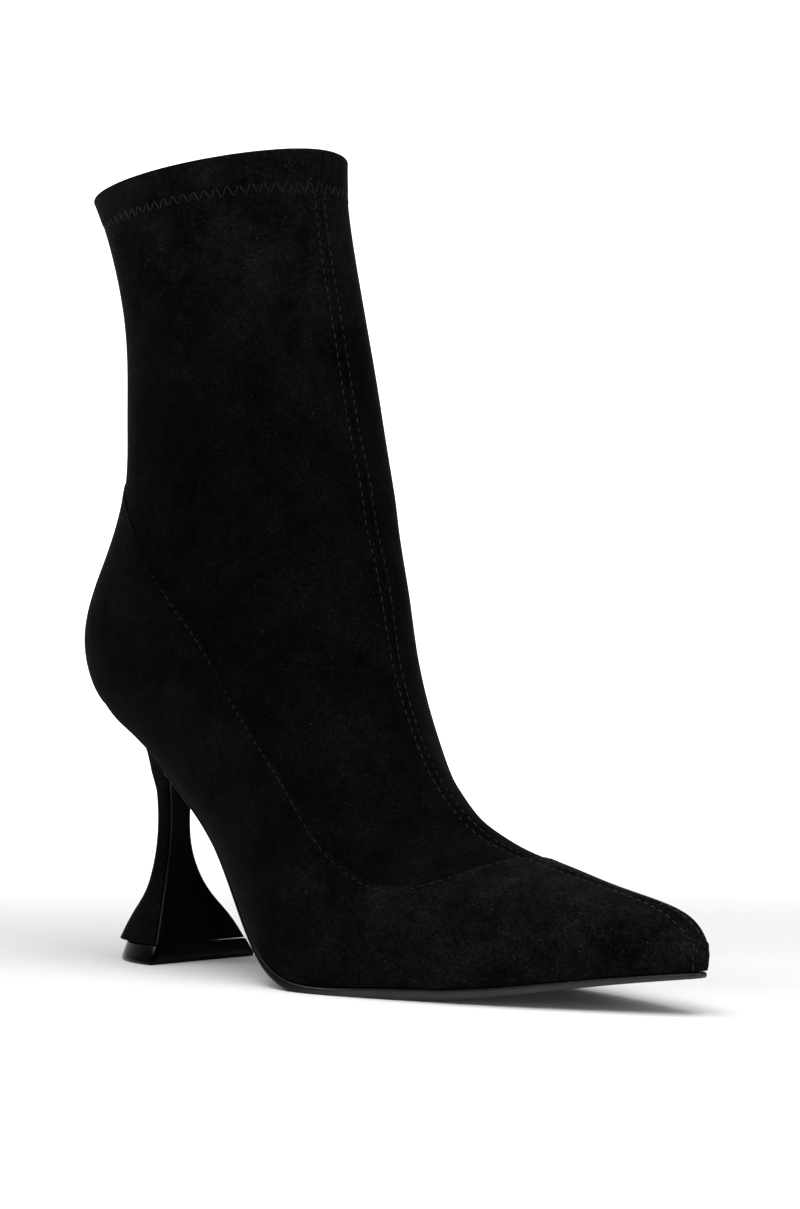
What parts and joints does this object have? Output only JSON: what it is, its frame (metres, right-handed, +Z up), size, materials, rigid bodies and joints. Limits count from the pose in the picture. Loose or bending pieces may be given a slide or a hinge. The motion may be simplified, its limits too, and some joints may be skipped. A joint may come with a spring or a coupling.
{
  "type": "pull-on ankle boot with a flared heel",
  "caption": "Pull-on stretch sock ankle boot in black napped fabric, with a pointed toe, a thin sole and a high heel that narrows to a slim neck and flares at its foot.",
  "frame": {"origin": "on the floor under the middle of the boot's box", "axes": "+X towards the toe, +Z up, -Y out of the outer side of the foot"},
  "size_m": [0.2456, 0.0732, 0.2475],
  "materials": {
    "napped_fabric": "matt suede-like nap",
    "lining_board": "matt lining cloth",
    "sole_rubber": "satin moulded edge",
    "heel_wrap": "matt suede-like nap",
    "smooth_facing": "smooth satin",
    "heel_tip": "gloss"
  },
  "bodies": {
    "root": {"upper": "napped_fabric", "insole": "lining_board", "outsole": "sole_rubber", "heel": "heel_wrap", "heel_breast": "smooth_facing", "top_piece": "heel_tip"}
  },
  "joints": []
}
